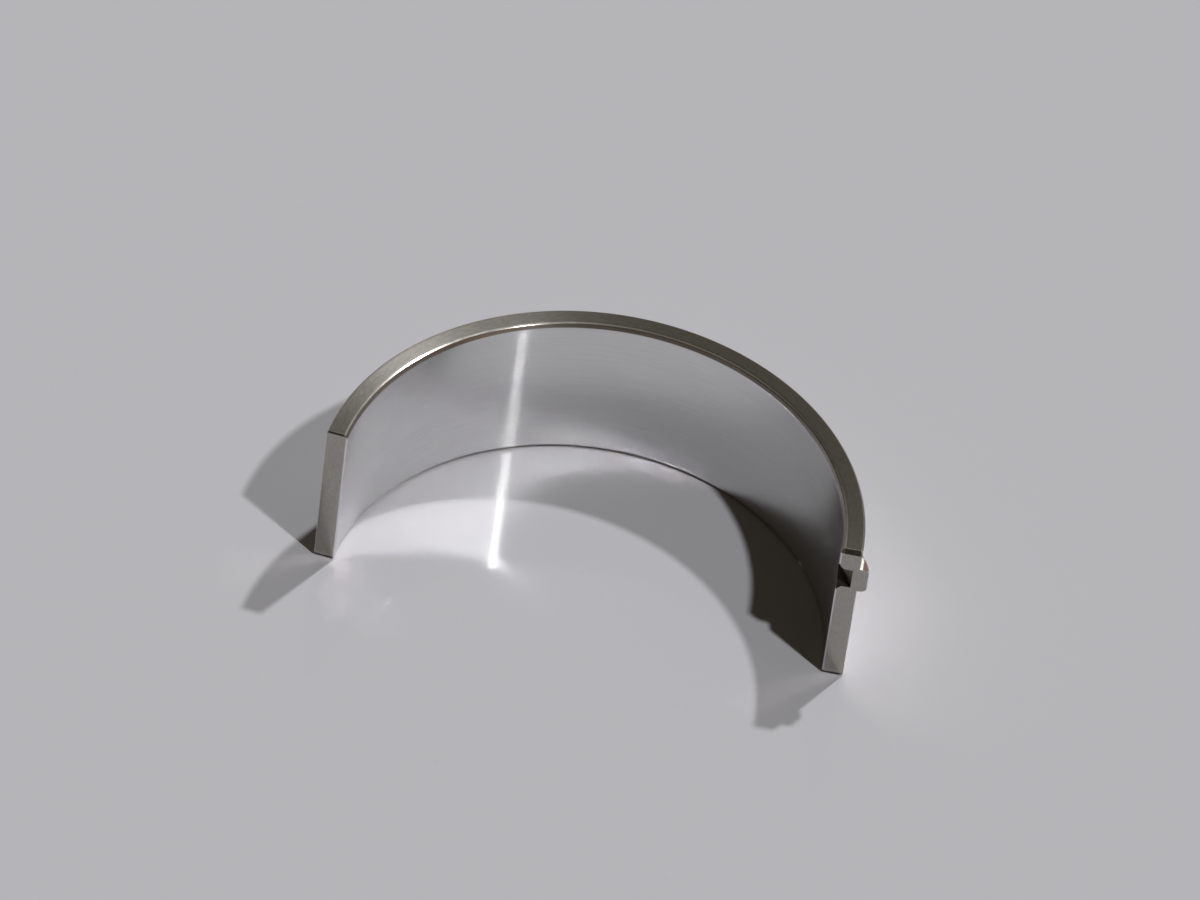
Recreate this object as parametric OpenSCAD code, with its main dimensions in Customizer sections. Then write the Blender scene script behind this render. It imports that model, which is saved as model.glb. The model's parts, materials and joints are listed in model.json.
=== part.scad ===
// Plain half shell of an engine's main bearing, shown free of its housing.
// Lined steel strip is rolled to a half circle, trimmed at both parting faces and bored to size.
// A locating lug is pressed out of the wall at one parting face, which leaves a notch on the bore side.
// The bearing's axis is Z with mid-width at z = 0. The crown of the arc points along +Y,
// the parting faces look towards -Y, and the lug's end lies on the +X side.

/* [Fit] */
// Bore of the housing that clamps the shell
housing_d = 52; // [44:0.5:64]
// Growth of the outside diameter once the shell is out of its housing
spring_open = 1.75; // [0.5:0.05:3]
// Thickness of the wall, steel and lining together
wall = 2.1; // [1.5:0.05:2.6]
// Width along the bearing's axis
shell_w = 17.2; // [14:0.1:26]

/* [Edges] */
// Chamfer between the bore and each side face
bore_chamfer = 0.4; // [0.2:0.05:0.6]
// Chamfer between the back and each side face
back_chamfer = 0.15; // [0.05:0.05:0.3]
// Chamfer between the bore and each parting face
parting_chamfer = 0.25; // [0.1:0.05:0.4]
// Chamfer between the plain parting face and the side face that the lug is nearer to
corner_chamfer = 0.15; // [0.1:0.05:0.4]
// Chamfer between the other side face and each parting face
foot_corner_chamfer = 0.35; // [0.1:0.05:0.8]
// Chamfer on the corner beside the lug, which is cut back furthest
lug_corner_chamfer = 0.4; // [0.1:0.05:0.8]

/* [Locating lug] */
// Width of the lug along the bearing's axis
lug_w = 2.85; // [2:0.05:4.5]
// Wall left between the lug and the nearer side face
lug_inset = 2.25; // [1.2:0.05:5]
// Height of the lug's end above the back of the shell
lug_rise = 0.95; // [0.4:0.05:1.4]
// Length of the ramp from the lug's end down to the back
lug_l = 2.2; // [1.5:0.1:5]
// Rounding along the lug's two outer edges
lug_round = 0.4; // [0.1:0.05:0.6]

/* [Punch notch] */
// Depth of the notch below the bore, at the parting face
notch_depth = 1.45; // [0.8:0.05:1.6]
// Length of the ramp from the notch's floor up to the bore
notch_l = 3; // [2:0.1:6]
// How far each side of the notch's floor lies inside the side of the lug
punch_gap = 0.25; // [0.1:0.05:0.4]
// Bevel along each side of the notch, where the metal was drawn in from the bore
mouth_flare = 0.55; // [0.1:0.05:0.75]

/* [Hidden] */
$fn = 180;

// Angle at which a chamfer crosses its arris
chamfer_turn = 45;
// Length by which a cutter runs clear of the metal
overrun = 1;

outer_r = (housing_d + spring_open) / 2;
bore_r = outer_r - wall;
mid_r = outer_r - wall / 2;
// The middle of the wall keeps its length as the shell springs open, so the arc falls short of a half circle
arc = 180 * (housing_d - wall) / (housing_d + spring_open - wall);
end_gap = (180 - arc) / 2;

lug_z = shell_w / 2 - lug_inset - lug_w / 2;

// Slope of a ramp that stands clear of a circle by rise at the parting face and meets it a length further in
function ramp_slope(r, rise, length) = atan((r + rise - sqrt(r * r - length * length)) / length);

lug_slope = ramp_slope(outer_r, lug_rise, lug_l);
notch_slope = ramp_slope(bore_r, notch_depth, notch_l);

// Section of the wall: x is the radius, y runs along the bearing's axis
module wall_section() {
    half_w = shell_w / 2;
    polygon([
        [bore_r, bore_chamfer - half_w],
        [bore_r + bore_chamfer, -half_w],
        [outer_r - back_chamfer, -half_w],
        [outer_r, back_chamfer - half_w],
        [outer_r, half_w - back_chamfer],
        [outer_r - back_chamfer, half_w],
        [bore_r + bore_chamfer, half_w],
        [bore_r, half_w - bore_chamfer]
    ]);
}

// Rolled strip between the two parting faces
module strip() {
    rotate([0, 0, end_gap])
        rotate_extrude(angle = arc)
            wall_section();
}

// Frame at the lug's end: x runs outward across the parting face, y from that face into the wall
module at_lug_end() {
    rotate([0, 0, end_gap]) children();
}

// The same frame at the plain end
module at_plain_end() {
    mirror([1, 0, 0]) at_lug_end() children();
}

// Square bar set on edge, which cuts a chamfer along an arris that lies on Z
module arris_bar(size, length) {
    rotate([0, 0, chamfer_turn])
        cube([size * sqrt(2), size * sqrt(2), length], center = true);
}

// Chamfers round one parting face: along the bore and at its lower and upper corners
module end_chamfers(lower, upper) {
    translate([bore_r, 0, 0])
        arris_bar(parting_chamfer, shell_w + 2 * overrun);
    translate([mid_r, 0, -shell_w / 2])
        rotate([0, 90, 0])
            arris_bar(lower, wall + 2 * overrun);
    translate([mid_r, 0, shell_w / 2])
        rotate([0, 90, 0])
            arris_bar(upper, wall + 2 * overrun);
}

// Carries a section along a ramp that starts at radius r on the parting face.
// The section's x is the height above the ramp, and its y runs along the bearing's axis.
module along_ramp(r, slope, run) {
    translate([r, 0, lug_z])
        rotate([0, 0, slope])
            translate([0, run, 0])
                rotate([90, 0, 0])
                    linear_extrude(run + overrun)
                        children();
}

// Section of the lug, with its two outer corners rounded
module lug_section() {
    depth = lug_rise + wall;
    translate([-depth, -lug_w / 2])
        square([depth - lug_round, lug_w]);
    translate([-depth, lug_round - lug_w / 2])
        square([depth, lug_w - 2 * lug_round]);
    for (side = [-1, 1])
        translate([-lug_round, side * (lug_w / 2 - lug_round)])
            circle(lug_round);
}

// Metal pushed out past the back, from the middle of the wall to the ramp, flush with the parting face
module lug() {
    difference() {
        along_ramp(outer_r + lug_rise, lug_slope, lug_l / cos(lug_slope) + wall)
            lug_section();
        cylinder(r = mid_r, h = shell_w, center = true);
        translate([mid_r - overrun, -shell_w, -shell_w / 2])
            cube([wall + lug_rise + 2 * overrun, shell_w, shell_w]);
    }
}

// Section of the notch: a flat floor, straight sides, and a bevel that opens towards the bore
module notch_section() {
    floor_half = lug_w / 2 - punch_gap;
    bevel_start = notch_depth - mouth_flare;
    reach = notch_depth + overrun;
    reach_half = floor_half + reach - bevel_start;
    polygon([
        [0, -floor_half],
        [0, floor_half],
        [-bevel_start, floor_half],
        [-reach, reach_half],
        [-reach, -reach_half],
        [-bevel_start, -floor_half]
    ]);
}

// Hollow that the punch left in the bore behind the lug
module notch() {
    along_ramp(bore_r + notch_depth, notch_slope, 2 * notch_l)
        notch_section();
}

module bearing_shell() {
    color("silver")
        difference() {
            union() {
                strip();
                at_lug_end() lug();
            }
            at_lug_end() notch();
            at_lug_end() end_chamfers(foot_corner_chamfer, lug_corner_chamfer);
            at_plain_end() end_chamfers(foot_corner_chamfer, corner_chamfer);
        }
}

bearing_shell();
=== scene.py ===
"""Looks of an engine bearing shell: its lined steel wall with the pressed-out lug, on a pale floor."""

import json
import logging
import math
from collections.abc import Sequence
from dataclasses import dataclass
from enum import Enum, IntEnum
from typing import Any

import bmesh
import bpy
import numpy as np
from mathutils import Matrix, Vector


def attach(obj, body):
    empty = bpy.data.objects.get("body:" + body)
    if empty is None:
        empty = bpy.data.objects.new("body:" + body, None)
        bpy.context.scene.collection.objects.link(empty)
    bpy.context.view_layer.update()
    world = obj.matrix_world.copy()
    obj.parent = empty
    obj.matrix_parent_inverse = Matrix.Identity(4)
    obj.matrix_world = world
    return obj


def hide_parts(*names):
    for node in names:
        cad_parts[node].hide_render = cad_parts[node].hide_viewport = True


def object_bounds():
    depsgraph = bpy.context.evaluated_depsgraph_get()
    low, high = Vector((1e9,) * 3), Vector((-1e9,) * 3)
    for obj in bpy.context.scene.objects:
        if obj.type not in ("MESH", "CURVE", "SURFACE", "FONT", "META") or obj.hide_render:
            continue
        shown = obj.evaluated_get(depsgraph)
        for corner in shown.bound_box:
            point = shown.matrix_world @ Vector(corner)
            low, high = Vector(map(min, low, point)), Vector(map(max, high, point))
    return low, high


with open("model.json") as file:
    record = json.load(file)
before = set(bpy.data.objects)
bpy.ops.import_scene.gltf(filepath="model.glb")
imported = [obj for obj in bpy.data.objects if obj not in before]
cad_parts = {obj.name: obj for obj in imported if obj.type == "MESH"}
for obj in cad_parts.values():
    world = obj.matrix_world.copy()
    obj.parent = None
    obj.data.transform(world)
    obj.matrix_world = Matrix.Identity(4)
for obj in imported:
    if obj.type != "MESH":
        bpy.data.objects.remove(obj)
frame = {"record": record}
cad_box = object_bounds()

log = logging.getLogger("bearing_shell")

Tree = bpy.types.NodeTree
Socket = bpy.types.NodeSocket
Triple = tuple[float, float, float]

# Sizes below are in millimetres, and the frame is in metres
MM = 0.001
# Decimals of a millimetre that grid lines and sizes from the frame are rounded to
DECIMALS = 4
# Grid lines no further apart than this are as good as one
CLOSEST = 0.002
# Vertex attribute that unrolls the strip: x along its length, y across its width, z through its wall
STRIP = "strip"
# Direction of the bearing's axis
BEARING_AXIS = (0.0, 0.0, 1.0)
# An arc of radius 1 that rounds a 45 degree chamfer's corner touches both sides this far from the corner
ARC_REACH = math.tan(math.pi / 8)
# Over its eighth of a turn, that arc falls by this much
ARC_FALL = 1 - math.cos(math.pi / 4)
# Part of a noise's range that is stretched between the two colours of a finish
TONE_LOW, TONE_HIGH = 0.3, 0.7
# Part of a noise's range that is stretched over any other value
NOISE_LOW, NOISE_HIGH = 0.25, 0.75
# Turn of the shader's tangent, as a part of a whole turn, that makes light spread across the marks
ACROSS = 0.25


class Zone(IntEnum):
    """Surfaces of the shell that were made in different ways, in the order of the mesh's material slots."""

    BORE = 0
    RIM = 1
    SHOULDER = 2
    SIDE = 3
    PARTING = 4
    BACK = 5
    LUG = 6
    NOTCH = 7


class Axis(Enum):
    """Axes of the frame, by the names that a split direction's outputs have."""

    X = "X"
    Y = "Y"
    Z = "Z"


def linear(colour: str) -> tuple[float, float, float, float]:
    """Turns an sRGB hex colour into linear red, green, blue and a full alpha.

    Args:
        colour: Six hex digits after a hash sign.

    Returns:
        Four numbers for a colour socket.
    """
    srgb = np.array([int(colour[k:k + 2], 16) for k in (1, 3, 5)]) / 255
    lit = np.where(srgb <= 0.04045, srgb / 12.92, ((srgb + 0.055) / 1.055) ** 2.4)
    return (*lit.tolist(), 1.0)


def put(tree: Tree, kind: str, inputs: dict[str | int, Any] | None = None,
        **settings: Any) -> bpy.types.Node:
    """Adds a node to a tree.

    Args:
        tree: Node tree of a material or of the world.
        kind: Blender's name for the node's type.
        inputs: What each input socket, by name or number, is set to or linked from.
        settings: Properties of the node itself.

    Returns:
        The new node.
    """
    node = tree.nodes.new(kind)
    for name, value in settings.items():
        setattr(node, name, value)
    for socket, value in (inputs or {}).items():
        if isinstance(value, Socket):
            tree.links.new(value, node.inputs[socket])
        else:
            node.inputs[socket].default_value = value
    return node


def graded(stops: Sequence[float], steps: Sequence[float]) -> np.ndarray:
    """Grid lines that are evenly spaced between stops, at about the step wanted in each gap.

    Args:
        stops: Positions in rising order that all get a line.
        steps: Wanted spacing in each gap, one fewer than the stops.

    Returns:
        Positions from the first stop to the last.
    """
    runs = [np.linspace(a, b, max(1, round((b - a) / step)), endpoint=False)
            for a, b, step in zip(stops, stops[1:], steps)]
    return np.append(np.concatenate(runs), stops[-1])


def merged(*lines: Sequence[float] | np.ndarray) -> np.ndarray:
    """Puts grid lines in rising order, without those that lie too close before another one.

    Args:
        lines: Groups of positions.

    Returns:
        The positions that are kept, with the first and the last always among them.
    """
    rising = np.unique(np.round(np.concatenate(lines), DECIMALS))
    kept = np.append(np.diff(rising) > CLOSEST, True)
    kept[0] = True
    return rising[kept]


def cell_middles(values: np.ndarray) -> np.ndarray:
    """Mean of two opposite corners of each cell of a grid."""
    return (values[1:, 1:] + values[:-1, :-1]) / 2


def half_chord(radius: float | np.ndarray, offset: np.ndarray) -> np.ndarray:
    """Half of the chord at an offset from a circle's centre: root of radius squared less offset squared."""
    return np.sqrt(np.clip(radius ** 2 - offset ** 2, 0, None))


@dataclass(frozen=True)
class Arris:
    """A 45 degree chamfer along an edge, with a small rounding where it meets each of its two faces.

    Attributes:
        chamfer: Size of the chamfer along either face.
        top: Rounding at the face that depths are measured from.
        foot: Rounding at the other face.
    """

    chamfer: float
    top: float
    foot: float

    @property
    def depth(self) -> float:
        """Depth below the first face at which the edge ends."""
        return self.chamfer + ARC_REACH * self.foot

    def inset(self, depth: np.ndarray) -> np.ndarray:
        """How far the edge is cut back at a depth below the first face.

        The inset falls one for one with depth, from the chamfer's size to nothing. An arc of the top
        rounding leaves the first face at a right angle and joins that slope, and an arc of the foot rounding
        leads the slope into the other face.

        Args:
            depth: Depths below the first face.

        Returns:
            The inset at each depth.
        """
        over = self.chamfer + ARC_REACH * self.top - half_chord(self.top, self.top - depth)
        under = self.foot - half_chord(self.foot, depth - self.depth)
        slope_start, slope_end = ARC_FALL * self.top, self.chamfer - ARC_FALL * self.foot
        return np.select([depth < slope_start, depth < slope_end, depth < self.depth],
                         [over, self.chamfer - depth, under], 0.0)

    def lines(self, arc_steps: int = 4, slope_steps: int = 3) -> np.ndarray:
        """Depths that need a grid line for the roundings and the slope to keep their form.

        Args:
            arc_steps: Number of steps along each rounding.
            slope_steps: Number of steps along the slope.

        Returns:
            Depths in rising order, from nothing to the end of the foot rounding.
        """
        turn = np.linspace(0, math.pi / 4, arc_steps + 1)
        over = self.top * (1 - np.cos(turn))
        under = self.depth - self.foot * np.sin(turn[::-1])
        slope = np.linspace(over[-1], under[0], slope_steps + 1)
        return np.concatenate([over, slope[1:-1], under])


@dataclass(frozen=True)
class SteppedEdge:
    """An edge cut back in two steps: a shallow shoulder beside one face, and a steep bevel to the other.

    Attributes:
        shoulder: Width of the shoulder.
        shoulder_drop: How far the shoulder falls over its width.
        bevel: Width of the bevel.
        bevel_drop: How far the bevel falls over its width.
        softness: How much the ridge between them is rounded.
    """

    shoulder: float
    shoulder_drop: float
    bevel: float
    bevel_drop: float
    softness: float

    @property
    def depth(self) -> float:
        """Depth below the first face at which the edge ends."""
        return self.shoulder_drop + self.bevel_drop

    def inset(self, depth: np.ndarray) -> np.ndarray:
        """How far the edge is cut back at a depth below the first face.

        Each step is a straight line. The inset is the larger of the two, blended near their crossing by a
        hyperbola that has both lines as its asymptotes, and it is never less than nothing.

        Args:
            depth: Depths below the first face.

        Returns:
            The inset at each depth.
        """
        near = self.bevel + self.shoulder * (1 - depth / self.shoulder_drop)
        far = self.bevel * (1 - (depth - self.shoulder_drop) / self.bevel_drop)
        return np.clip((near + far + np.hypot(near - far, self.softness)) / 2, 0, None)

    def lines(self, shoulder_steps: int = 12, bevel_steps: int = 5) -> np.ndarray:
        """Depths that need a grid line for the two steps and the ridge to keep their form.

        Args:
            shoulder_steps: Number of steps along the shoulder and the ridge.
            bevel_steps: Number of steps along the rest of the bevel.

        Returns:
            Depths in rising order, from nothing to the end of the bevel.
        """
        ridge_end = 2 * self.shoulder_drop
        above = np.linspace(0, ridge_end, shoulder_steps, endpoint=False)
        return np.append(above, np.linspace(ridge_end, self.depth, bevel_steps + 1))


@dataclass(frozen=True)
class Ramp:
    """A slope that stands clear of a circle at the parting face and runs into it further along.

    Attributes:
        radius: Radius of the circle.
        rise: How far outside the circle the slope starts.
        length: Distance from the parting face at which it meets the circle.
        crown: How far its middle bulges above a straight line.
    """

    radius: float
    rise: float
    length: float
    crown: float = 0.0

    def at(self, turn: np.ndarray) -> np.ndarray:
        """Radius of the slope at an angle from the parting face.

        In polar form a straight line is its distance from the centre over the cosine of the angle from its
        normal. A parabola over the slope's length adds the crown to it.

        Args:
            turn: Angles from the parting face, in radians.

        Returns:
            The slope's radius at each angle.
        """
        fall = self.radius + self.rise - math.sqrt(self.radius ** 2 - self.length ** 2)
        slope = math.atan2(fall, self.length)
        line = (self.radius + self.rise) * math.cos(slope) / np.cos(turn - slope)
        share = np.clip(turn * self.radius / self.length, 0, 1)
        return line + 4 * self.crown * share * (1 - share)

    def near(self, turn: np.ndarray) -> np.ndarray:
        """Whether an angle is near the slope: further round, its line would leave the circle again."""
        return turn * self.radius < 2 * self.length


@dataclass(frozen=True)
class LocatingLug:
    """The tongue that a punch pressed out of the wall at a parting face, and the notch it left in the bore.

    Attributes:
        middle: Height of its middle above mid-width.
        width: Width along the bearing's axis.
        rise: Height of its end above the back.
        length: Length of its ramp.
        crown: How far the middle of the ramp bulges.
        upper_round: Radius along its outer edge on the side where the punch broke through.
        lower_round: Radius along its other outer edge, where the metal was drawn over.
        draft: How much wider the lug is at the back than at its outer edges, on either side.
        notch_depth: Depth of the notch below the bore, at the parting face.
        notch_length: Length of the notch's ramp.
        punch_gap: How far each side of the notch's floor lies inside the side of the lug.
        mouth_flare: Bevel along each side of the notch.
        wall_lean: Width over which a side of the notch falls, so that it stays a surface over the grid.
        lip: Depth below the bore at which the notch's own surface begins.
    """

    middle: float
    width: float = 2.85
    rise: float = 0.95
    length: float = 2.2
    crown: float = 0.15
    upper_round: float = 0.15
    lower_round: float = 0.45
    draft: float = 0.1
    notch_depth: float = 1.45
    notch_length: float = 3.0
    punch_gap: float = 0.25
    mouth_flare: float = 0.55
    wall_lean: float = 0.02
    lip: float = 0.02

    @property
    def floor_half(self) -> float:
        """Half of the width of the notch's floor."""
        return self.width / 2 - self.punch_gap

    @property
    def mouth_half(self) -> float:
        """Half of the width of the notch's mouth in the bore, at the parting face."""
        return self.floor_half + self.mouth_flare

    def height_lines(self, arc_steps: int = 6, bevel_steps: int = 8) -> np.ndarray:
        """Heights that need a grid line for the sides of the lug and notch to stand upright.

        Args:
            arc_steps: Number of steps along each rounding of the lug.
            bevel_steps: Number of steps along each bevel of the notch.

        Returns:
            Heights in rising order.
        """
        half = self.width / 2
        left_over = 1 - np.sin(np.linspace(0, math.pi / 2, arc_steps + 1))
        bevel = np.linspace(self.floor_half + self.wall_lean, self.mouth_half, bevel_steps + 1)
        both = np.concatenate([[half + self.draft, self.floor_half], bevel])
        upper = np.concatenate([half - self.upper_round * left_over, both])
        lower = np.concatenate([half - self.lower_round * left_over, both])
        return np.sort(np.concatenate([self.middle - lower, self.middle + upper]))

    def raise_back(self, back: np.ndarray, turn: np.ndarray, height: np.ndarray,
                   radius: float) -> np.ndarray:
        """The back's radius with the lug standing on it.

        Over the lug's width the surface is the higher of the back and the ramp, the ramp drops along each of
        its two edges by a quarter round, and past them the sides fall to the back over the draft.

        Args:
            back: Radius of the back without the lug.
            turn: Angles from the lug's parting face, in radians.
            height: Heights along the bearing's axis.
            radius: Radius of the back.

        Returns:
            The new radius of the back.
        """
        ramp = Ramp(radius, self.rise, self.length, self.crown)
        out = np.abs(height - self.middle)
        rounding = np.where(height > self.middle, self.upper_round, self.lower_round)
        past = np.clip(out - self.width / 2 + rounding, 0, rounding)
        top = ramp.at(turn) - rounding + half_chord(rounding, past)
        covered = (out < self.width / 2 + self.draft / 2) & ramp.near(turn)
        return np.where(covered, np.maximum(back, top), back)

    def hollow_bore(self, bore: np.ndarray, turn: np.ndarray, height: np.ndarray,
                    radius: float) -> np.ndarray:
        """The bore's radius with the notch sunk into it.

        The notch is as deep as its ramp over the floor's width, its sides stand up from there, and a
        45 degree bevel carries them out to the bore.

        Args:
            bore: Radius of the bore without the notch.
            turn: Angles from the lug's parting face, in radians.
            height: Heights along the bearing's axis.
            radius: Radius of the bore.

        Returns:
            The new radius of the bore.
        """
        ramp = Ramp(radius, self.notch_depth, self.notch_length)
        out = np.abs(height - self.middle) - self.floor_half
        step = self.notch_depth - self.mouth_flare
        side = np.where(out > self.wall_lean / 2, step + out, 0.0)
        return np.where(ramp.near(turn), np.maximum(bore, ramp.at(turn) - side), bore)


@dataclass(frozen=True)
class Finish:
    """Common part of every finish on the shell.

    Attributes:
        name: Name of the material.
        colour: Reflected colour where the metal is clean and bright.
        shade: Reflected colour in the bottom of its marks.
        roughness: Mean roughness.
        unevenness: How far the roughness strays to either side of its mean.
    """

    name: str
    colour: str
    shade: str
    roughness: float
    unevenness: float

    def material(self) -> bpy.types.Material:
        """Makes the material.

        Returns:
            A new material with this finish.
        """
        material = bpy.data.materials.new(self.name)
        material.use_nodes = True
        tree = material.node_tree
        tree.nodes.clear()
        put(tree, "ShaderNodeOutputMaterial", {"Surface": self.surface(tree)})
        return material

    def surface(self, tree: Tree) -> Socket:
        """Makes the shader of this finish in a material's tree, and returns its output."""
        raise NotImplementedError

    def grain(self, tree: Tree, size: Triple, detail: float) -> Socket:
        """A noise whose patches have a given size on the unrolled strip.

        Args:
            tree: The material's tree.
            size: Size of a patch along the strip, across it and through its wall.
            detail: How many times finer patches are laid over the first ones.

        Returns:
            The noise's value, which lies about a half.
        """
        strip = put(tree, "ShaderNodeAttribute", attribute_name=STRIP)
        scaled = put(tree, "ShaderNodeVectorMath", {
            0: strip.outputs["Vector"], 1: [1 / (length * MM) for length in size]}, operation="MULTIPLY")
        noise = put(tree, "ShaderNodeTexNoise", {
            "Vector": scaled.outputs[0], "Scale": 1.0, "Detail": detail})
        return noise.outputs["Fac"]

    def tone(self, tree: Tree, marks: Socket) -> Socket:
        """Mixes the bright and the dark colour by a noise.

        Args:
            tree: The material's tree.
            marks: The noise.

        Returns:
            The mixed colour.
        """
        share = put(tree, "ShaderNodeMapRange", {
            "Value": marks, "From Min": TONE_LOW, "From Max": TONE_HIGH})
        mixed = put(tree, "ShaderNodeMix", {
            "Factor": share.outputs["Result"], "A": linear(self.shade), "B": linear(self.colour),
        }, data_type="RGBA")
        return mixed.outputs["Result"]

    def stray(self, tree: Tree, marks: Socket, low: float, high: float) -> Socket:
        """Varies a value between two limits by a noise.

        Args:
            tree: The material's tree.
            marks: The noise.
            low: The value where the noise is low.
            high: The value where the noise is high.

        Returns:
            The value.
        """
        spread = put(tree, "ShaderNodeMapRange", {
            "Value": marks, "From Min": NOISE_LOW, "From Max": NOISE_HIGH, "To Min": low, "To Max": high})
        return spread.outputs["Result"]

    def gloss(self, tree: Tree, marks: Socket) -> Socket:
        """The roughness, which falls below its mean where the noise is high."""
        return self.stray(tree, marks, self.roughness + self.unevenness, self.roughness - self.unevenness)


@dataclass(frozen=True)
class Turned(Finish):
    """Metal cut or rolled round the axis, so that it scatters light across its fine circular marks.

    Attributes:
        anisotropy: How much wider light spreads across the marks than along them.
        pitch: Spacing of the marks. Real ones are several times finer, but then none would show in a render.
        run: Length over which a mark keeps its tone.
        relief: Depth of the marks.
        gleam: Share of the light that a second set of marks spreads in its own way.
        gleam_roughness: Roughness of those marks.
        gleam_anisotropy: From a round soft highlight at 0 to a streak along the axis near 1.
        gleam_unevenness: How far that share strays to either side of its mean, as a part of it.
        cloud: Size of the patches over which the roughness strays.
        speck: Size of the specks over which the share strays.
    """

    anisotropy: float = 0.8
    pitch: float = 0.2
    run: float = 6.0
    relief: float = 0.0005
    gleam: float = 0.0
    gleam_roughness: float = 0.3
    gleam_anisotropy: float = 0.85
    gleam_unevenness: float = 0.4
    cloud: Triple = (9.0, 4.0, 4.0)
    speck: Triple = (0.8, 0.25, 0.25)

    def surface(self, tree: Tree) -> Socket:
        """Makes the turned metal's shader.

        Args:
            tree: The material's tree.

        Returns:
            The shader's output.
        """
        marks = self.grain(tree, (self.run, self.pitch, self.pitch), detail=3.0)
        clouds = self.grain(tree, self.cloud, detail=2.0)
        colour = self.tone(tree, marks)
        bump = put(tree, "ShaderNodeBump", {"Height": marks, "Distance": self.relief * MM})
        place = put(tree, "ShaderNodeTexCoord")
        round_axis = put(tree, "ShaderNodeVectorMath", {
            0: BEARING_AXIS, 1: place.outputs["Object"]}, operation="CROSS_PRODUCT")
        metal = put(tree, "ShaderNodeBsdfPrincipled", {
            "Base Color": colour, "Metallic": 1.0, "Roughness": self.gloss(tree, clouds),
            "Anisotropic": self.anisotropy, "Anisotropic Rotation": ACROSS,
            "Normal": bump.outputs["Normal"], "Tangent": round_axis.outputs[0]})
        if not self.gleam:
            return metal.outputs["BSDF"]
        specks = self.grain(tree, self.speck, detail=1.0)
        swing = self.gleam * self.gleam_unevenness
        share = self.stray(tree, specks, self.gleam - swing, self.gleam + swing)
        sheen = put(tree, "ShaderNodeBsdfAnisotropic", {
            "Color": colour, "Roughness": self.gleam_roughness, "Anisotropy": self.gleam_anisotropy,
            "Tangent": round_axis.outputs[0]})
        both = put(tree, "ShaderNodeMixShader", {
            0: share, 1: metal.outputs["BSDF"], 2: sheen.outputs["BSDF"]})
        return both.outputs["Shader"]


@dataclass(frozen=True)
class Broached(Finish):
    """Metal planed by a tool that ran straight along the bearing's axis.

    Attributes:
        pitch: Spacing of the marks. Real ones are finer, but then none would show in a render.
        run: Length of a mark.
        relief: Depth of the marks.
    """

    pitch: float = 0.15
    run: float = 2.0
    relief: float = 0.001

    def surface(self, tree: Tree) -> Socket:
        """Makes the broached metal's shader.

        Args:
            tree: The material's tree.

        Returns:
            The shader's output.
        """
        marks = self.grain(tree, (self.pitch, self.run, self.pitch), detail=4.0)
        bump = put(tree, "ShaderNodeBump", {"Height": marks, "Distance": self.relief * MM})
        metal = put(tree, "ShaderNodeBsdfPrincipled", {
            "Base Color": self.tone(tree, marks), "Metallic": 1.0, "Roughness": self.gloss(tree, marks),
            "Normal": bump.outputs["Normal"]})
        return metal.outputs["BSDF"]


@dataclass(frozen=True)
class Sheared(Finish):
    """Metal that a punch sheared: burnished where the tool slid along it, then torn where it broke away.

    Attributes:
        torn: Colour of the torn band.
        torn_roughness: Roughness of the torn band.
        tear: Radius at which the burnished band ends.
        waver: How far that line strays to either side.
        grit: Size of the torn band's crystals.
    """

    torn: str = "#665653"
    torn_roughness: float = 0.55
    tear: float = 27.13
    waver: float = 0.08
    grit: float = 0.12

    def surface(self, tree: Tree) -> Socket:
        """Makes the sheared metal's shader.

        Args:
            tree: The material's tree.

        Returns:
            The shader's output.
        """
        marks = self.grain(tree, (self.grit, self.grit, self.grit), detail=3.0)
        strip = put(tree, "ShaderNodeAttribute", attribute_name=STRIP)
        place = put(tree, "ShaderNodeSeparateXYZ", {0: strip.outputs["Vector"]})
        line = self.stray(tree, marks, (self.tear - self.waver) * MM, (self.tear + self.waver) * MM)
        past = put(tree, "ShaderNodeMath", {0: place.outputs["Z"], 1: line}, operation="GREATER_THAN")
        colour = put(tree, "ShaderNodeMix", {
            "Factor": past.outputs[0], "A": self.tone(tree, marks), "B": linear(self.torn),
        }, data_type="RGBA")
        rough = put(tree, "ShaderNodeMix", {
            "Factor": past.outputs[0], "A": self.gloss(tree, marks), "B": self.torn_roughness,
        }, data_type="FLOAT")
        metal = put(tree, "ShaderNodeBsdfPrincipled", {
            "Base Color": colour.outputs["Result"], "Metallic": 1.0, "Roughness": rough.outputs["Result"]})
        return metal.outputs["BSDF"]


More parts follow.
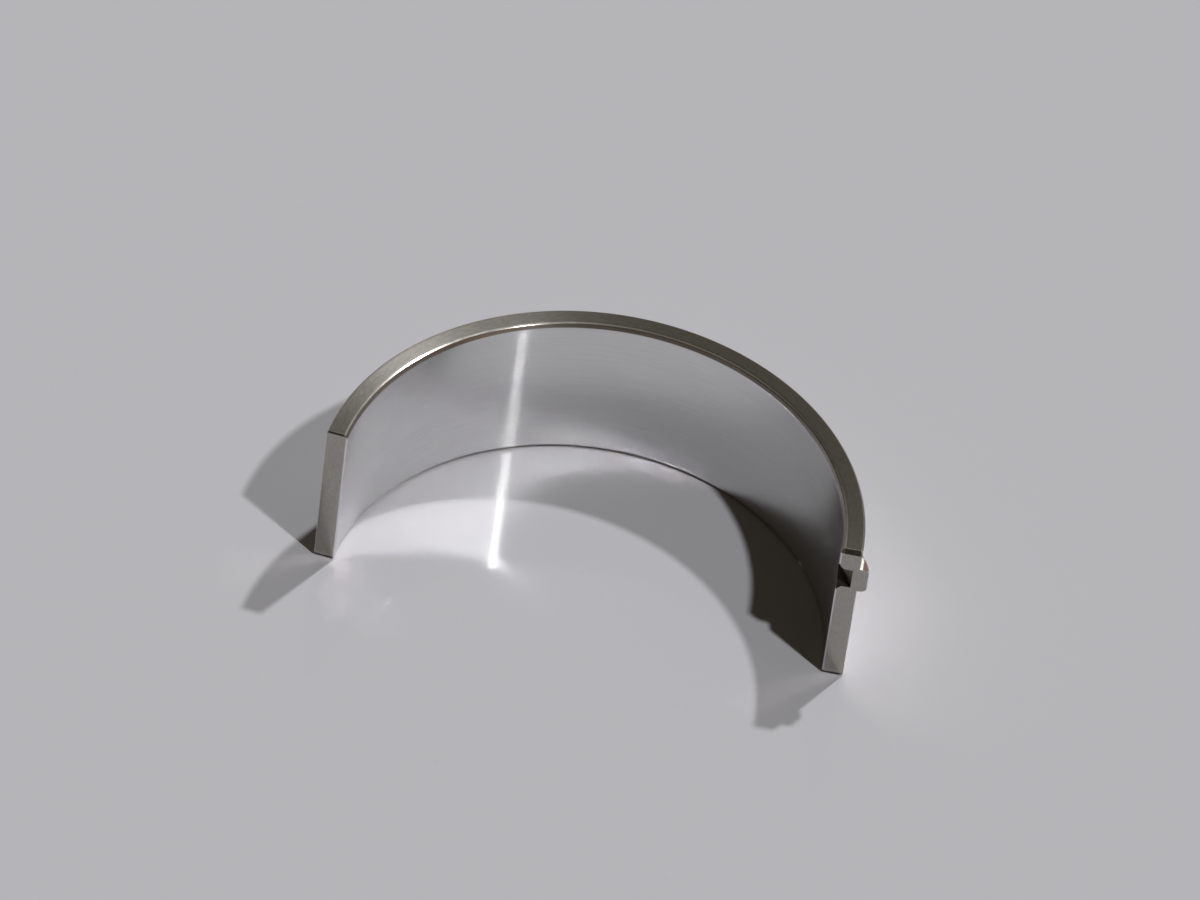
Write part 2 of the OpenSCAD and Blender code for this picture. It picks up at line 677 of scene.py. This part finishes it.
FINISHES: dict[Zone, Finish] = {
    # Aluminium lining bored with a fine feed: pale, and a mirror round the axis, so a lamp becomes a streak
    Zone.BORE: Turned("bored_aluminium_lining", "#E6E6E6", "#DEDEDE", 0.165, 0.02, anisotropy=1.0,
                      relief=0.0, gleam=0.005, gleam_anisotropy=0.95),
    # Bevel of the lining as the tool left it: duller and a little warmer than the bore
    Zone.RIM: Turned("turned_lining_rim", "#D0C8C2", "#BDB4AD", 0.22, 0.03, anisotropy=0.85, relief=0.0),
    # Narrow shoulder above the bevel, rubbed by handling: a bright line that runs round the rim
    Zone.SHOULDER: Turned("rubbed_lining_rim", "#E6E3DE", "#D4D0CA", 0.12, 0.02, anisotropy=0.85,
                          relief=0.0, gleam=0.19, gleam_roughness=0.47, gleam_anisotropy=0.45),
    # Side of the steel strip, faced in short fine marks: darker grey with a broad, soft highlight
    Zone.SIDE: Turned("faced_strip_steel", "#A19E9A", "#928F8B", 0.12, 0.02, anisotropy=0.85, run=0.5,
                      pitch=0.15, relief=0.0001, gleam=0.33, gleam_roughness=0.43, gleam_anisotropy=0.535,
                      gleam_unevenness=0.12),
    # Broached end of the strip: an even satin grey with faint marks along the axis
    Zone.PARTING: Broached("broached_strip_steel", "#B2AFA8", "#A5A29B", 0.25, 0.03, run=0.6, relief=0.0002),
    # Back of the strip as it was rolled: long, dull streaks round the shell
    Zone.BACK: Turned("rolled_strip_steel", "#BEBBB6", "#AAA6A0", 0.3, 0.05, anisotropy=0.5, relief=0.0002),
    # Sides of the lug: bright where the punch slid, dark and rough where the steel tore
    Zone.LUG: Sheared("sheared_strip_steel", "#E4E0D8", "#CFCAC2", 0.38, 0.05),
    # Inside of the notch, where the punch pushed the lining down: dull, with painted shade, its colours far
    # darker than the lining's to stand for the shade that falls in the recess
    Zone.NOTCH: Broached("punched_lining_painted_shade", "#7E786C", "#5C564C", 0.5, 0.06),
}


@dataclass(frozen=True)
class GridSteps:
    """Spacing of the wall's grid away from the edges, which bring their own lines.

    Attributes:
        end_reach: Distance from each parting face at which the spacing along the strip starts.
        lug_reach: Distance from the lug's parting face up to which it is fine.
        lug_step: Spacing along the strip beside the lug.
        strip_step: Spacing along the rest of the strip.
        side_reach: Distance from each side face at which the spacing across the strip starts.
        mouth_margin: How far past the notch's mouth it is fine.
        below_step: Spacing across the strip below the lug.
        mouth_step: Spacing across the lug and the notch.
        above_step: Spacing across the strip above the lug.
        wall_cells: Number of cells through the wall on the side and parting faces.
    """

    end_reach: float = 0.5
    lug_reach: float = 5.0
    lug_step: float = 0.1
    strip_step: float = 0.45
    side_reach: float = 0.7
    mouth_margin: float = 0.15
    below_step: float = 0.8
    mouth_step: float = 0.09
    above_step: float = 0.3
    wall_cells: int = 6


@dataclass(frozen=True)
class Sheets:
    """The wall's two sheets, as arrays over distance along the strip and height along the bearing's axis.

    Attributes:
        along: Distance from the lug's parting face.
        rows: Height of the grid's lines.
        height: Height of the points, held between the two side faces.
        inner: Radius of the bore's sheet.
        outer: Radius of the back's sheet.
    """

    along: np.ndarray
    rows: np.ndarray
    height: np.ndarray
    inner: np.ndarray
    outer: np.ndarray


@dataclass(frozen=True)
class BearingShell:
    """The half shell: a strip of lined steel, bent to an arc and cut off at two parting faces.

    Attributes:
        bore_radius: Radius of the bore.
        back_radius: Radius of the back.
        width: Width along the bearing's axis.
        solid_gap: Angle from the X axis to each parting face of the solid, in radians.
        lug: The locating lug.
        end_trim: How far each end stops short of the solid's. Its bore edge is finer than the solid's
            chamfer and would reach past the solid's box without this.
        bore_rim: Edge between the bore and the upper side face.
        foot_rim: Edge between the bore and the lower side face.
        back_rim: Edge between the back and a side face.
        bore_end: Edge between the bore and a parting face.
        back_end: Edge between the back and a parting face.
        corner: Edge between the upper side face and the plain parting face.
        lug_corner: Edge between the upper side face and the lug's parting face.
        foot_corner: Edge between the lower side face and each parting face.
        steps: Spacing of the grid.
        weld: Distance within which points become one. It is only for points in the same place, because a
            wider weld would fold the narrow faces at the corners together.
        sharp_angle: Angle in degrees from which an edge shades as sharp.
    """

    bore_radius: float
    back_radius: float
    width: float
    solid_gap: float
    lug: LocatingLug
    end_trim: float = 0.0055
    bore_rim: SteppedEdge = SteppedEdge(0.2, 0.05, 0.18, 0.4, 0.06)
    foot_rim: Arris = Arris(0.35, 0.3, 0.1)
    back_rim: Arris = Arris(0.15, 0.08, 0.08)
    bore_end: Arris = Arris(0.13, 0.06, 0.06)
    back_end: Arris = Arris(0.06, 0.05, 0.05)
    corner: Arris = Arris(0.15, 0.06, 0.06)
    lug_corner: Arris = Arris(0.4, 0.06, 0.06)
    foot_corner: Arris = Arris(0.35, 0.06, 0.06)
    steps: GridSteps = GridSteps()
    weld: float = 0.00001
    sharp_angle: float = 30.0

    @classmethod
    def from_frame(cls) -> "BearingShell":
        """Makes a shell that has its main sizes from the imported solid's mounts and box.

        Returns:
            The shell.
        """
        mounts = {mount["name"]: mount for mount in frame["record"]["mounts"]}
        low, high = cad_box
        lug_height = mounts["locating_lug"]["pos_m"][2] / MM
        return cls(bore_radius=mounts["journal_bore"]["dims"]["r_mm"],
                   back_radius=mounts["housing_back"]["dims"]["r_mm"],
                   width=round((high.z - low.z) / MM, DECIMALS),
                   solid_gap=math.asin(mounts["parting_face_lug"]["axis"][0]),
                   lug=LocatingLug(round(lug_height, DECIMALS)))

    @property
    def mid_radius(self) -> float:
        """Radius of the middle of the wall."""
        return (self.bore_radius + self.back_radius) / 2

    @property
    def gap(self) -> float:
        """Angle from the X axis to each parting face, in radians."""
        return self.solid_gap + self.end_trim / self.mid_radius

    def grid_lines(self) -> tuple[np.ndarray, np.ndarray]:
        """Lines of the grid that the wall is worked out on.

        Returns:
            Distances along the strip from the lug's parting face, and heights along the bearing's axis.
        """
        steps, lug, half = self.steps, self.lug, self.width / 2
        length = (math.pi - 2 * self.gap) * self.mid_radius
        end_edges = (self.bore_end, self.back_end, self.corner, self.lug_corner, self.foot_corner)
        ends = np.concatenate([edge.lines() for edge in end_edges])
        run_stops = (steps.end_reach, steps.lug_reach, length - steps.end_reach)
        run = graded(run_stops, (steps.lug_step, steps.strip_step))
        low_edges = (self.foot_rim, self.back_rim, self.foot_corner)
        low = np.concatenate([edge.lines() for edge in low_edges])
        high_edges = (self.bore_rim, self.back_rim, self.corner, self.lug_corner)
        high = np.concatenate([edge.lines() for edge in high_edges])
        reach = lug.mouth_half + steps.mouth_margin
        top = half - steps.side_reach
        row_stops = (-top, lug.middle - reach, lug.middle + reach, top)
        rows = graded(row_stops, (steps.below_step, steps.mouth_step, steps.above_step))
        return (merged(ends, run, [lug.length], length - ends),
                merged(low - half, rows, lug.height_lines(), half - high))

    def sheets(self) -> Sheets:
        """The wall's inner and outer sheet over the grid.

        The radius of the bore grows towards each side face by the rim's inset, and it grows by no less than
        the inset of the parting edge. The back falls away by both of its insets. Heights are held between
        the two side faces, which close in at each parting face by the corner's inset. The lug raises the
        back, and the notch hollows the bore.

        Returns:
            The two sheets.
        """
        along, rows = np.meshgrid(*self.grid_lines(), indexing="ij")
        turn = along / self.mid_radius
        from_lug, from_plain = along, along[-1, 0] - along
        end = np.minimum(from_lug, from_plain)
        half = self.width / 2
        depth = half - np.abs(rows)
        upper = half - self.lug_corner.inset(from_lug) - self.corner.inset(from_plain)
        lower = self.foot_corner.inset(end) - half
        rim = np.where(rows > 0, self.bore_rim.inset(depth), self.foot_rim.inset(depth))
        inner = self.bore_radius + np.maximum(rim, self.bore_end.inset(end))
        inner = self.lug.hollow_bore(inner, turn, rows, self.bore_radius)
        outer = self.back_radius - self.back_rim.inset(depth)
        outer = self.lug.raise_back(outer, turn, rows, self.back_radius) - self.back_end.inset(end)
        return Sheets(along, rows, np.clip(rows, lower, upper), inner, outer)

    def bore_zones(self, sheets: Sheets) -> np.ndarray:
        """Zones of the bore's sheet.

        Args:
            sheets: The two sheets.

        Returns:
            The zone of each cell.
        """
        along, row = cell_middles(sheets.along), cell_middles(sheets.rows)
        depth = self.width / 2 - np.abs(row)
        rim_depth = np.where(row > 0, self.bore_rim.depth, self.foot_rim.depth)
        shoulder = (row > 0) & (depth < self.bore_rim.shoulder_drop)
        beside = (np.abs(row - self.lug.middle) < self.lug.mouth_half) & (along < self.lug.notch_length)
        sunk = beside & (sheets.inner[1:, 1:] > self.bore_radius + self.lug.lip)
        zones = [Zone.NOTCH, Zone.SHOULDER, Zone.RIM]
        return np.select([sunk, shoulder, depth < rim_depth], zones, Zone.BORE)

    def back_zones(self, sheets: Sheets) -> np.ndarray:
        """Zones of the back's sheet.

        Args:
            sheets: The two sheets.

        Returns:
            The zone of each cell.
        """
        along, row = cell_middles(sheets.along), cell_middles(sheets.rows)
        out = np.abs(row - self.lug.middle) - (self.lug.width + self.lug.draft) / 2
        flank = (np.abs(out) < self.lug.draft / 2) & (along < self.lug.length)
        return np.where(flank, Zone.LUG, Zone.BACK)

    def patches(self) -> list[tuple[np.ndarray, np.ndarray]]:
        """The six faces of the closed wall, each as a grid of unrolled points with a zone for each cell.

        The radius runs evenly from the inner to the outer sheet, which makes the wall a block over distance,
        height and depth. The six faces are the outer layers of that block.

        Returns:
            For each face, points as distance, height and radius, and the zone of each cell.
        """
        sheets = self.sheets()
        share = np.linspace(0, 1, self.steps.wall_cells + 1)
        radius = sheets.inner[..., None] * (1 - share) + sheets.outer[..., None] * share
        along = np.broadcast_to(sheets.along[..., None], radius.shape)
        height = np.broadcast_to(sheets.height[..., None], radius.shape)
        block = np.stack([along, height, radius], axis=-1)
        faces = [(block[:, :, 0], self.bore_zones(sheets)), (block[:, :, -1], self.back_zones(sheets))]
        for layer in (0, -1):
            for face, zone in ((block[:, layer], Zone.SIDE), (block[layer], Zone.PARTING)):
                faces.append((face, np.full((face.shape[0] - 1, face.shape[1] - 1), zone)))
        return faces

    def build(self) -> bpy.types.Object:
        """Makes the closed mesh of the wall.

        Unrolled points are bent to the arc: distance over the middle radius is the angle round the axis, and
        the radius and the height stay as they are.

        Returns:
            The shell's object, at the origin.
        """
        points, quads, zones, first = [], [], [], 0
        for patch, zone in self.patches():
            rows, columns = patch.shape[:2]
            index = first + np.arange(rows * columns).reshape(rows, columns)
            corners = (index[:-1, :-1], index[1:, :-1], index[1:, 1:], index[:-1, 1:])
            quads.append(np.stack(corners, axis=-1).reshape(-1, 4))
            points.append(patch.reshape(-1, 3))
            zones.append(zone.ravel())
            first += rows * columns
        strip = np.concatenate(points)
        angle = self.gap + strip[:, 0] / self.mid_radius
        place = np.stack([strip[:, 2] * np.cos(angle), strip[:, 2] * np.sin(angle), strip[:, 1]], axis=-1)
        mesh = bpy.data.meshes.new("bearing_shell_wall")
        mesh.from_pydata(place * MM, [], np.concatenate(quads))
        mesh.polygons.foreach_set("material_index", np.concatenate(zones).astype(np.int32))
        unrolled = mesh.attributes.new(STRIP, "FLOAT_VECTOR", "POINT")
        unrolled.data.foreach_set("vector", (strip * MM).astype(np.float32).ravel())
        self.close(mesh)
        piece = bpy.data.objects.new("bearing_shell_wall", mesh)
        bpy.context.scene.collection.objects.link(piece)
        return piece

    def close(self, mesh: bpy.types.Mesh) -> None:
        """Welds the faces along their shared edges, turns them outwards and sets which edges shade as sharp.

        Args:
            mesh: Mesh of separate face grids.
        """
        shape = bmesh.new()
        shape.from_mesh(mesh)
        bmesh.ops.remove_doubles(shape, verts=shape.verts, dist=self.weld * MM)
        bmesh.ops.recalc_face_normals(shape, faces=shape.faces)
        shape.to_mesh(mesh)
        shape.free()
        mesh.shade_smooth()
        mesh.set_sharp_from_angle(angle=math.radians(self.sharp_angle))

    def dress(self, piece: bpy.types.Object) -> None:
        """Gives each zone of the shell its finish, in the order of the zones."""
        for zone in Zone:
            piece.data.materials.append(FINISHES[zone].material())


@dataclass(frozen=True)
class Glow:
    """A soft patch of light in the surroundings, on the side of one axis.

    Attributes:
        axis: Axis that points at the patch, or away from it where start and full are below nothing.
        start: Part of a direction that lies along the axis where the patch begins.
        full: The same where the patch is at its brightest.
        strength: Brightness at its brightest.
        colour: Colour of its light.
    """

    axis: Axis
    start: float
    full: float
    strength: float
    colour: str


@dataclass(frozen=True)
class Lamp:
    """A round lamp that is so far away that its light falls at the same angle everywhere.

    Attributes:
        name: Name of the lamp.
        towards: Direction from the shell to the lamp.
        angle: Apparent diameter in degrees.
        light: Irradiance on a face turned to it, in watts for each square metre.
    """

    name: str
    towards: Triple
    angle: float = 2.4
    light: float = 1.67

    def build(self) -> bpy.types.Object:
        """Makes the lamp.

        Returns:
            The lamp's object.
        """
        data = bpy.data.lights.new(self.name, "SUN")
        data.angle = math.radians(self.angle)
        data.energy = self.light
        lamp = bpy.data.objects.new(self.name, data)
        bpy.context.scene.collection.objects.link(lamp)
        lamp.matrix_world = Vector(self.towards).to_track_quat("Z", "Y").to_matrix().to_4x4()
        return lamp


@dataclass(frozen=True)
class Viewpoint:
    """The camera at the photograph's viewing angle.

    Attributes:
        azimuth: Angle round the Z axis in degrees, with 0 looking along Y.
        elevation: Angle above the horizon in degrees.
        roll: Turn about the line of sight in degrees.
        target: Point in the middle of the picture.
        distance: Distance from that point.
        lens: Focal length.
        sensor: Width of the sensor.
    """

    azimuth: float = 7.1268
    elevation: float = 44.5047
    roll: float = 7.9046
    target: Triple = (-1.1625, 10.5946, 5.3772)
    distance: float = 964.72
    lens: float = 294.67
    sensor: float = 36.0

    def build(self) -> bpy.types.Object:
        """Makes the camera and gives it to the scene.

        Returns:
            The camera's object.
        """
        angles = (self.azimuth, self.elevation, self.roll)
        azimuth, elevation, roll = (math.radians(angle) for angle in angles)
        right = Vector((math.cos(azimuth), math.sin(azimuth), 0))
        ahead = Vector((-math.sin(azimuth), math.cos(azimuth), 0))
        back = math.sin(elevation) * Vector(BEARING_AXIS) - math.cos(elevation) * ahead
        up = back.cross(right)
        turned_right = math.cos(roll) * right + math.sin(roll) * up
        turned_up = math.cos(roll) * up - math.sin(roll) * right
        data = bpy.data.cameras.new("camera")
        data.sensor_width = self.sensor
        data.lens = self.lens
        camera = bpy.data.objects.new("camera", data)
        bpy.context.scene.collection.objects.link(camera)
        place = (Vector(self.target) + self.distance * back) * MM
        turn = Matrix((turned_right, turned_up, back)).transposed().to_4x4()
        camera.matrix_world = Matrix.Translation(place) @ turn
        bpy.context.scene.camera = camera
        return camera


@dataclass(frozen=True)
class Studio:
    """Floor, lamps, surroundings and camera.

    Attributes:
        floor_height: Height of the floor.
        floor_size: Side of the square floor.
        floor_colour: Colour of the floor.
        floor_roughness: Roughness of the floor.
        floor_ior: Index of refraction of the floor's paint.
        dusk: Colour of the dim surroundings.
        dusk_strength: Brightness of the dim surroundings.
        glows: Brighter patches in them.
        lamps: The lamps.
        viewpoint: The camera.
    """

    floor_height: float
    floor_size: float = 4000.0
    floor_colour: str = "#B9B9BE"
    floor_roughness: float = 0.06
    floor_ior: float = 1.45
    dusk: str = "#FFE6B0"
    dusk_strength: float = 0.014
    glows: tuple[Glow, ...] = (
        # Pale wall behind the shell
        Glow(Axis.Y, 0.45, 0.75, 0.18, "#FFF6E8"),
        # Dim, warm wall in front of it
        Glow(Axis.Y, -0.5, -0.7, 0.03, "#FFE6B0"),
        # Ceiling
        Glow(Axis.Z, 0.75, 0.95, 0.1, "#FFF6E8"),
        # Warm wall on the right
        Glow(Axis.X, 0.6, 0.9, 0.13, "#E2A868"),
    )
    lamps: tuple[Lamp, ...] = (
        Lamp("front_lamp", (0.439, -0.2877, 0.851)),
        Lamp("rear_lamp", (0.249, 0.4696, 0.847)),
    )
    viewpoint: Viewpoint = Viewpoint()

    def paint(self) -> bpy.types.Material:
        """Makes the floor's paint.

        Returns:
            A new material.
        """
        # Painted board, smooth and satin: an even pale grey that mirrors the foot of the shell
        material = bpy.data.materials.new("satin_painted_board")
        material.use_nodes = True
        tree = material.node_tree
        tree.nodes.clear()
        shader = put(tree, "ShaderNodeBsdfPrincipled", {
            "Base Color": linear(self.floor_colour), "Roughness": self.floor_roughness,
            "IOR": self.floor_ior})
        put(tree, "ShaderNodeOutputMaterial", {"Surface": shader.outputs["BSDF"]})
        return material

    def floor(self) -> bpy.types.Object:
        """Makes the floor, a square about the origin.

        Returns:
            The floor's object.
        """
        corners = np.array([(-1, -1), (1, -1), (1, 1), (-1, 1)]) * self.floor_size / 2
        place = np.column_stack([corners, np.full(len(corners), self.floor_height)])
        mesh = bpy.data.meshes.new("floor")
        mesh.from_pydata(place * MM, [], [range(len(corners))])
        mesh.materials.append(self.paint())
        floor = bpy.data.objects.new("floor", mesh)
        bpy.context.scene.collection.objects.link(floor)
        return floor

    def surroundings(self) -> bpy.types.World:
        """Makes the dim surroundings with their brighter patches.

        Each patch fades in smoothly as a direction turns towards its axis, and the patches add up.

        Returns:
            The scene's world.
        """
        world = bpy.data.worlds.new("dim_studio")
        bpy.context.scene.world = world
        world.use_nodes = True
        tree = world.node_tree
        tree.nodes.clear()
        ray = put(tree, "ShaderNodeTexCoord")
        split = put(tree, "ShaderNodeSeparateXYZ", {0: ray.outputs["Generated"]})
        light = put(tree, "ShaderNodeVectorMath", {
            0: linear(self.dusk)[:3], "Scale": self.dusk_strength}, operation="SCALE")
        for glow in self.glows:
            share = put(tree, "ShaderNodeMapRange", {
                "Value": split.outputs[glow.axis.value], "From Min": glow.start, "From Max": glow.full,
                "To Max": glow.strength}, interpolation_type="SMOOTHSTEP")
            patch = put(tree, "ShaderNodeVectorMath", {
                0: linear(glow.colour)[:3], "Scale": share.outputs["Result"]}, operation="SCALE")
            light = put(tree, "ShaderNodeVectorMath", {
                0: light.outputs[0], 1: patch.outputs[0]}, operation="ADD")
        sky = put(tree, "ShaderNodeBackground", {"Color": light.outputs[0]})
        put(tree, "ShaderNodeOutputWorld", {"Surface": sky.outputs["Background"]})
        return world

    def build(self) -> None:
        """Makes everything round the shell and sets how the picture is worked out."""
        scene = bpy.context.scene
        scene.view_settings.view_transform = "Standard"
        # The bore throws light on the floor, which the filter would smear and the limit would cut away
        scene.cycles.blur_glossy = 0.0
        scene.cycles.sample_clamp_indirect = 0.0
        made = [self.viewpoint.build(), self.surroundings(), self.floor()]
        made += [lamp.build() for lamp in self.lamps]
        log.info("studio: %s", ", ".join(thing.name for thing in made))


def main() -> None:
    """Builds the studio and the shell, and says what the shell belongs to."""
    logging.basicConfig(level=logging.INFO, format="%(name)s: %(message)s")
    low, _ = cad_box
    Studio(floor_height=round(low.z / MM, DECIMALS)).build()
    shell = BearingShell.from_frame()
    wall = shell.build()
    shell.dress(wall)
    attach(wall, "root")
    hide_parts("bearing_shell")
    log.info("%s: %d faces", wall.name, len(wall.data.polygons))


if __name__ == "__main__":
    main()
